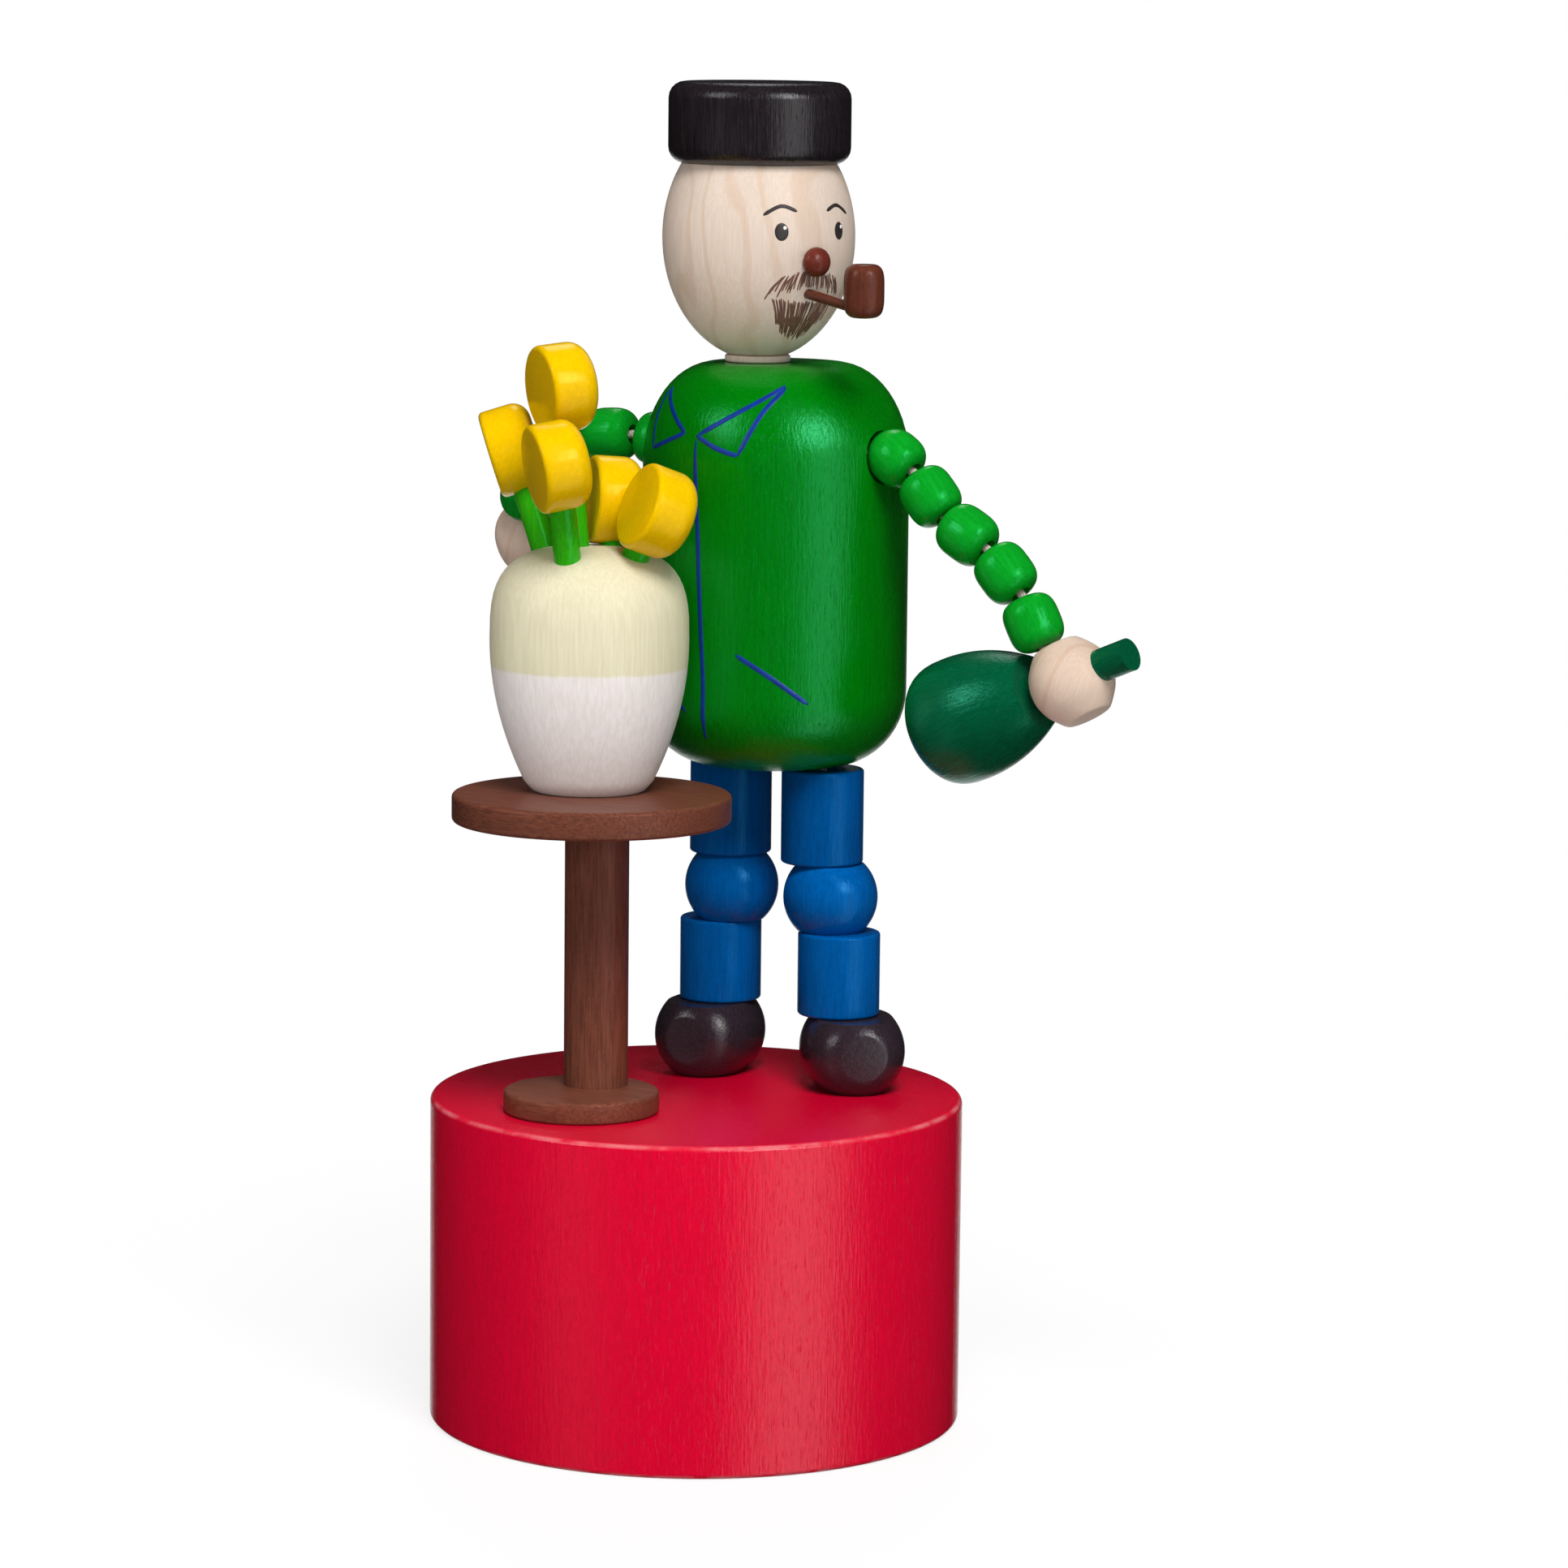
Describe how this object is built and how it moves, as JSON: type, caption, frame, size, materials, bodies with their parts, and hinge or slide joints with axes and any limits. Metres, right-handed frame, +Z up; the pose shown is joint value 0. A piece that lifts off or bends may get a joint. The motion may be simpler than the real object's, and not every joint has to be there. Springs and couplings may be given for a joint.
{
  "type": "push puppet",
  "caption": "Wooden push puppet: strung bearded figure in cap and coat with bottle and pipe, by a table with flowers, on a round drum whose sprung thumb button slackens the cords.",
  "frame": {"origin": "on the drum's axis, in the plane of its underside", "axes": "+Z up along the drum's axis, the figure faces -Y, its left hand side is +X"},
  "size_m": [0.0821, 0.0522, 0.1301],
  "materials": {
    "red_wood": "satin stained",
    "steel_wire": "bright",
    "cord": "matt",
    "brown_wood": "satin stained",
    "cream_wood": "satin painted",
    "stem_green": "satin painted",
    "yellow_wood": "satin painted",
    "shoe_brown": "satin stained",
    "blue_wood": "gloss stained",
    "green_wood": "gloss stained",
    "natural_wood": "clear lacquered",
    "nose_brown": "satin stained",
    "black_wood": "satin painted",
    "pipe_brown": "satin stained",
    "bead_green": "gloss painted",
    "bottle_green": "gloss stained"
  },
  "bodies": {
    "base": {"base_drum": "red_wood", "push_spring": "steel_wire", "left_cord": "cord", "right_cord": "cord", "head_cord": "cord", "table_foot": "brown_wood", "table_column": "brown_wood", "table_top": "brown_wood", "vase": "cream_wood", "flower_stem_1": "stem_green", "flower_stem_2": "stem_green", "flower_stem_3": "stem_green", "flower_stem_4": "stem_green", "flower_stem_5": "stem_green", "flower_head_1": "yellow_wood", "flower_head_2": "yellow_wood", "flower_head_3": "yellow_wood", "flower_head_4": "yellow_wood", "flower_head_5": "yellow_wood", "left_shoe": "shoe_brown", "right_shoe": "shoe_brown"},
    "button": {"push_button": "red_wood"},
    "left_shin": {"left_shin": "blue_wood"},
    "left_knee": {"left_knee": "blue_wood"},
    "left_thigh": {"left_thigh": "blue_wood"},
    "right_shin": {"right_shin": "blue_wood"},
    "right_knee": {"right_knee": "blue_wood"},
    "right_thigh": {"right_thigh": "blue_wood"},
    "torso": {"torso": "green_wood"},
    "neck": {"neck_collar": "natural_wood"},
    "head": {"head": "natural_wood", "nose": "nose_brown", "hat": "black_wood", "pipe_stem": "pipe_brown", "pipe_bowl": "pipe_brown"},
    "left_bead_1": {"left_bead_1": "bead_green"},
    "left_bead_2": {"left_bead_2": "bead_green"},
    "left_bead_3": {"left_bead_3": "bead_green"},
    "left_bead_4": {"left_bead_4": "bead_green"},
    "left_bead_5": {"left_bead_5": "bead_green"},
    "left_hand": {"left_hand": "natural_wood", "bottle_body": "bottle_green", "bottle_neck": "bottle_green"},
    "right_bead_1": {"right_bead_1": "bead_green"},
    "right_bead_2": {"right_bead_2": "bead_green"},
    "right_bead_3": {"right_bead_3": "bead_green"},
    "right_bead_4": {"right_bead_4": "bead_green"},
    "right_bead_5": {"right_bead_5": "bead_green"},
    "right_hand": {"right_hand": "natural_wood"}
  },
  "joints": [
    {"name": "button_press", "type": "slide", "parent": "base", "child": "button", "axis": [0, 0, 1], "range_m": [0, 0.006], "stiffness_N_per_m": 800, "springref_m": -0.006, "deforming": ["push_spring", "left_cord", "right_cord", "head_cord"]},
    {"name": "left_ankle", "type": "hinge", "parent": "base", "child": "left_shin", "pos_m": [0, 0.01565, 0.03922], "axis": [-1, 0, 0], "range_deg": [0, 7]},
    {"name": "left_knee_lower", "type": "hinge", "parent": "left_shin", "child": "left_knee", "pos_m": [0, 0.01518, 0.04746], "axis": [-1, 0, 0], "range_deg": [0, 8]},
    {"name": "left_knee_upper", "type": "hinge", "parent": "left_knee", "child": "left_thigh", "pos_m": [0, 0.01518, 0.0541], "axis": [-1, 0, 0], "range_deg": [0, 8]},
    {"name": "hip", "type": "hinge", "parent": "left_thigh", "child": "torso", "pos_m": [0, 0.01565, 0.06344], "axis": [-1, 0, 0], "range_deg": [0, 13]},
    {"name": "right_ankle", "type": "hinge", "parent": "base", "child": "right_shin", "pos_m": [0, 0.01565, 0.03922], "axis": [-1, 0, 0], "range_deg": [0, 7]},
    {"name": "right_knee_lower", "type": "hinge", "parent": "right_shin", "child": "right_knee", "pos_m": [0, 0.01518, 0.04746], "axis": [-1, 0, 0], "range_deg": [0, 8]},
    {"name": "right_knee_upper", "type": "hinge", "parent": "right_knee", "child": "right_thigh", "pos_m": [0, 0.01518, 0.0541], "axis": [-1, 0, 0], "range_deg": [0, 8]},
    {"name": "neck_nod", "type": "hinge", "parent": "torso", "child": "neck", "pos_m": [0, 0.0136, 0.10298], "axis": [-1, 0, 0], "range_deg": [0, 10]},
    {"name": "head_turn", "type": "hinge", "parent": "neck", "child": "head", "pos_m": [-0.0013, 0.0106, 0.10374], "axis": [0, 0, 1], "range_deg": [-90, 90]},
    {"name": "left_arm_swing", "type": "hinge", "parent": "torso", "child": "left_bead_1", "pos_m": [0.0144, 0.0118, 0.0945], "axis": [-1, 0, 0], "range_deg": [-60, 120]},
    {"name": "left_arm_bend_1", "type": "hinge", "parent": "left_bead_1", "child": "left_bead_2", "pos_m": [0.01675, 0.0118, 0.09303], "axis": [0, 1, 0], "range_deg": [0, 2.5]},
    {"name": "left_arm_bend_2", "type": "hinge", "parent": "left_bead_2", "child": "left_bead_3", "pos_m": [0.02053, 0.0118, 0.08883], "axis": [0, 1, 0], "range_deg": [0, 3.5]},
    {"name": "left_arm_bend_3", "type": "hinge", "parent": "left_bead_3", "child": "left_bead_4", "pos_m": [0.02552, 0.0118, 0.08618], "axis": [0, 1, 0], "range_deg": [0, 2.5]},
    {"name": "left_arm_bend_4", "type": "hinge", "parent": "left_bead_4", "child": "left_bead_5", "pos_m": [0.02945, 0.0118, 0.08211], "axis": [0, 1, 0], "range_deg": [0, 3.5]},
    {"name": "left_wrist", "type": "hinge", "parent": "left_bead_5", "child": "left_hand", "pos_m": [0.0321, 0.0118, 0.07713], "axis": [0, 1, 0], "range_deg": [0, 4]},
    {"name": "right_arm_swing", "type": "hinge", "parent": "torso", "child": "right_bead_1", "pos_m": [-0.014, 0.0118, 0.0945], "axis": [-1, 0, 0], "range_deg": [-60, 120]},
    {"name": "right_arm_bend_1", "type": "hinge", "parent": "right_bead_1", "child": "right_bead_2", "pos_m": [-0.01661, 0.01095, 0.09493], "axis": [0.0872, -0.9962, 0], "range_deg": [0, 5]},
    {"name": "right_arm_bend_2", "type": "hinge", "parent": "right_bead_2", "child": "right_bead_3", "pos_m": [-0.02223, 0.01046, 0.09464], "axis": [-0.1392, -0.9903, 0], "range_deg": [0, 2]},
    {"name": "right_arm_bend_3", "type": "hinge", "parent": "right_bead_3", "child": "right_bead_4", "pos_m": [-0.02752, 0.0112, 0.0928], "axis": [-0.4067, -0.9135, 0], "range_deg": [0, 4]},
    {"name": "right_arm_bend_4", "type": "hinge", "parent": "right_bead_4", "child": "right_bead_5", "pos_m": [-0.03189, 0.01315, 0.0898], "axis": [-0.7193, -0.6947, 0], "range_deg": [0, 3.5]},
    {"name": "right_wrist", "type": "hinge", "parent": "right_bead_5", "child": "right_hand", "pos_m": [-0.03477, 0.01613, 0.08595], "axis": [-0.9613, -0.2756, 0], "range_deg": [0, 7]}
  ],
  "couplings": [
    {"joint": "left_ankle", "follows": "button_press", "rad_per_m": 20.362},
    {"joint": "left_knee_lower", "follows": "button_press", "rad_per_m": 23.271},
    {"joint": "left_knee_upper", "follows": "button_press", "rad_per_m": 23.271},
    {"joint": "hip", "follows": "button_press", "rad_per_m": 37.815},
    {"joint": "right_ankle", "follows": "button_press", "rad_per_m": 20.362},
    {"joint": "right_knee_lower", "follows": "button_press", "rad_per_m": 23.271},
    {"joint": "right_knee_upper", "follows": "button_press", "rad_per_m": 23.271},
    {"joint": "neck_nod", "follows": "button_press", "rad_per_m": 29.089},
    {"joint": "left_arm_bend_1", "follows": "button_press", "rad_per_m": 7.2722},
    {"joint": "left_arm_bend_2", "follows": "button_press", "rad_per_m": 10.181},
    {"joint": "left_arm_bend_3", "follows": "button_press", "rad_per_m": 7.2722},
    {"joint": "left_arm_bend_4", "follows": "button_press", "rad_per_m": 10.181},
    {"joint": "left_wrist", "follows": "button_press", "rad_per_m": 11.636},
    {"joint": "right_arm_bend_1", "follows": "button_press", "rad_per_m": 14.544},
    {"joint": "right_arm_bend_2", "follows": "button_press", "rad_per_m": 5.8178},
    {"joint": "right_arm_bend_3", "follows": "button_press", "rad_per_m": 11.636},
    {"joint": "right_arm_bend_4", "follows": "button_press", "rad_per_m": 10.181},
    {"joint": "right_wrist", "follows": "button_press", "rad_per_m": 20.362}
  ]
}
